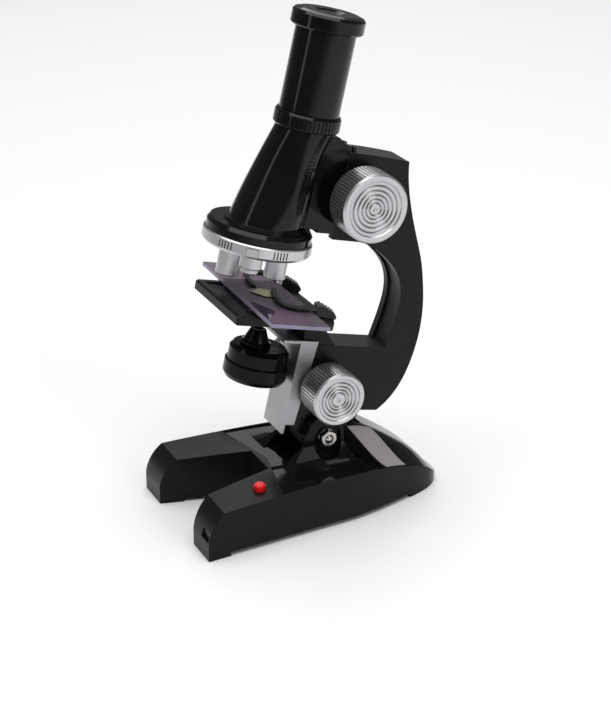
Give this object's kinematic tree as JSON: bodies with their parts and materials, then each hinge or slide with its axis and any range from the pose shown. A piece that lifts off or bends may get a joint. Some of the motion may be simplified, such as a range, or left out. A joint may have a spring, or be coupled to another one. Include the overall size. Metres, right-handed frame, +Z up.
{
  "type": "toy microscope",
  "caption": "Tilting toy microscope with a forked battery base, curved arm, geared focus tube, lens turret, clipped slide stage and a flip-over lamp on its own rack.",
  "frame": {"origin": "on the table, at the centre of the overall box's footprint", "axes": "+Z up, the forked legs point to -Y, X across the base with the red button on the +X leg"},
  "size_m": [0.0766, 0.1224, 0.2161],
  "materials": {
    "base_black": "satin moulded, nearly black",
    "plate_black": "fine matt texture",
    "screw_steel": "zinc plated",
    "cell_jacket": "plain printed jacket",
    "contact_steel": "bright strip",
    "switch_plastic": "satin",
    "board": "phenolic paper board",
    "button_red": "glossy",
    "label_silver": "satin foil, blank",
    "bright_chrome": "bright plated",
    "arm_black": "semi-gloss",
    "stage_grey": "satin, lit grey",
    "clip_black": "semi-gloss",
    "slide_clear": "clear with a violet tint",
    "specimen": "cream mounted specimen under varnish",
    "slide_print": "dark violet print, no lettering",
    "shaft_steel": "ground",
    "gear_plastic": "natural white moulding",
    "silver_plastic": "satin silver metallised",
    "tube_black": "high gloss",
    "lens": "polished",
    "lamp_black": "gloss",
    "bulb_glass": "clear",
    "mirror": "polished"
  },
  "bodies": {
    "base": {"base_shell": "base_black", "base_bottom_plate": "plate_black", "base_screws": "screw_steel", "battery_door": "plate_black", "battery_door_screw": "screw_steel", "battery_left": "cell_jacket", "battery_right": "cell_jacket", "battery_contacts": "contact_steel", "switch_body": "switch_plastic", "switch_board": "board", "label_plate": "label_silver", "tilt_bolt": "bright_chrome", "tilt_nut": "bright_chrome", "tilt_washers": "bright_chrome"},
    "button": {"switch_button": "button_red"},
    "arm": {"arm_half_left": "arm_black", "arm_half_right": "arm_black", "arm_screws": "screw_steel", "stage_support": "arm_black", "stage_plate": "stage_grey", "stage_screws": "screw_steel"},
    "clip_left": {"clip_left": "clip_black"},
    "clip_right": {"clip_right": "clip_black"},
    "slide": {"specimen_slide": "slide_clear", "slide_specimen": "specimen", "slide_print": "slide_print"},
    "focus_drive": {"focus_shaft": "shaft_steel", "focus_pinion": "gear_plastic", "focus_knob_left": "silver_plastic", "focus_knob_right": "silver_plastic"},
    "tube": {"body_cone": "tube_black", "tube_carriage": "tube_black", "tube_rack": "gear_plastic", "lock_ring": "tube_black", "turret_screw": "screw_steel"},
    "turret": {"turret_disc": "silver_plastic", "objective_long": "silver_plastic", "objective_medium": "silver_plastic", "objective_short": "silver_plastic", "lens_long": "lens", "lens_medium": "lens", "lens_short": "lens"},
    "eyepiece": {"eyepiece_tube": "tube_black", "eyepiece_cap": "tube_black", "eye_lens": "lens", "field_lens": "lens"},
    "lamp_carriage": {"lamp_bracket": "silver_plastic", "lamp_rack": "gear_plastic", "lamp_pin": "shaft_steel"},
    "lower_drive": {"lower_shaft": "shaft_steel", "lower_pinion": "gear_plastic", "lower_knob_left": "silver_plastic", "lower_knob_right": "silver_plastic"},
    "lamp": {"lamp_housing": "lamp_black", "lamp_snout": "lamp_black", "lamp_socket": "switch_plastic", "lamp_bulb": "bulb_glass", "lamp_mirror": "mirror"}
  },
  "joints": [
    {"name": "arm_tilt", "type": "hinge", "parent": "base", "child": "arm", "pos_m": [0, 0.0044, 0.0322], "axis": [1, 0, 0], "range_deg": [-17.5, 13.18]},
    {"name": "switch_press", "type": "slide", "parent": "base", "child": "button", "axis": [0, 0, -1], "range_m": [0, 0.0012], "stiffness_N_per_m": 300, "springref_m": -0.001},
    {"name": "tube_slide", "type": "slide", "parent": "arm", "child": "tube", "axis": [0, 0.228, 0.9737], "range_m": [-0.0015, 0.014]},
    {"name": "focus_turn", "type": "hinge", "parent": "arm", "child": "focus_drive", "pos_m": [0, 0.0182, 0.13804], "axis": [1, 0, 0], "range_deg": [-134, 15]},
    {"name": "eyepiece_lift", "type": "slide", "parent": "tube", "child": "eyepiece", "axis": [0, 0.228, 0.9737], "range_m": [0, 0.012]},
    {"name": "turret_spin", "type": "hinge", "parent": "tube", "child": "turret", "pos_m": [0, -0.02161, 0.12549], "axis": [0, 0.228, 0.9737], "continuous": true},
    {"name": "lamp_slide", "type": "slide", "parent": "arm", "child": "lamp_carriage", "axis": [0, 0.228, 0.9737], "range_m": [-0.008, 0]},
    {"name": "lower_turn", "type": "hinge", "parent": "arm", "child": "lower_drive", "pos_m": [0, 0.00352, 0.05562], "axis": [1, 0, 0], "range_deg": [0, 77]},
    {"name": "lamp_flip", "type": "hinge", "parent": "lamp_carriage", "child": "lamp", "pos_m": [0, -0.00978, 0.06376], "axis": [0, 0.9737, -0.228], "range_deg": [0, 180]},
    {"name": "clip_right_swing", "type": "hinge", "parent": "arm", "child": "clip_right", "pos_m": [0.017, -0.00044, 0.09136], "axis": [0, 0.228, 0.9737], "range_deg": [0, 60]},
    {"name": "clip_left_swing", "type": "hinge", "parent": "arm", "child": "clip_left", "pos_m": [-0.017, -0.00044, 0.09136], "axis": [0, -0.228, -0.9737], "range_deg": [-8, 32]},
    {"name": "slide_move", "type": "slide", "parent": "arm", "child": "slide", "axis": [0.9997, -0.0255, 0.006], "range_m": [-0.02, 0.02]}
  ],
  "couplings": [
    {"joint": "focus_turn", "follows": "tube_slide", "rad_per_m": -166.67},
    {"joint": "lower_turn", "follows": "lamp_slide", "rad_per_m": -166.67}
  ]
}
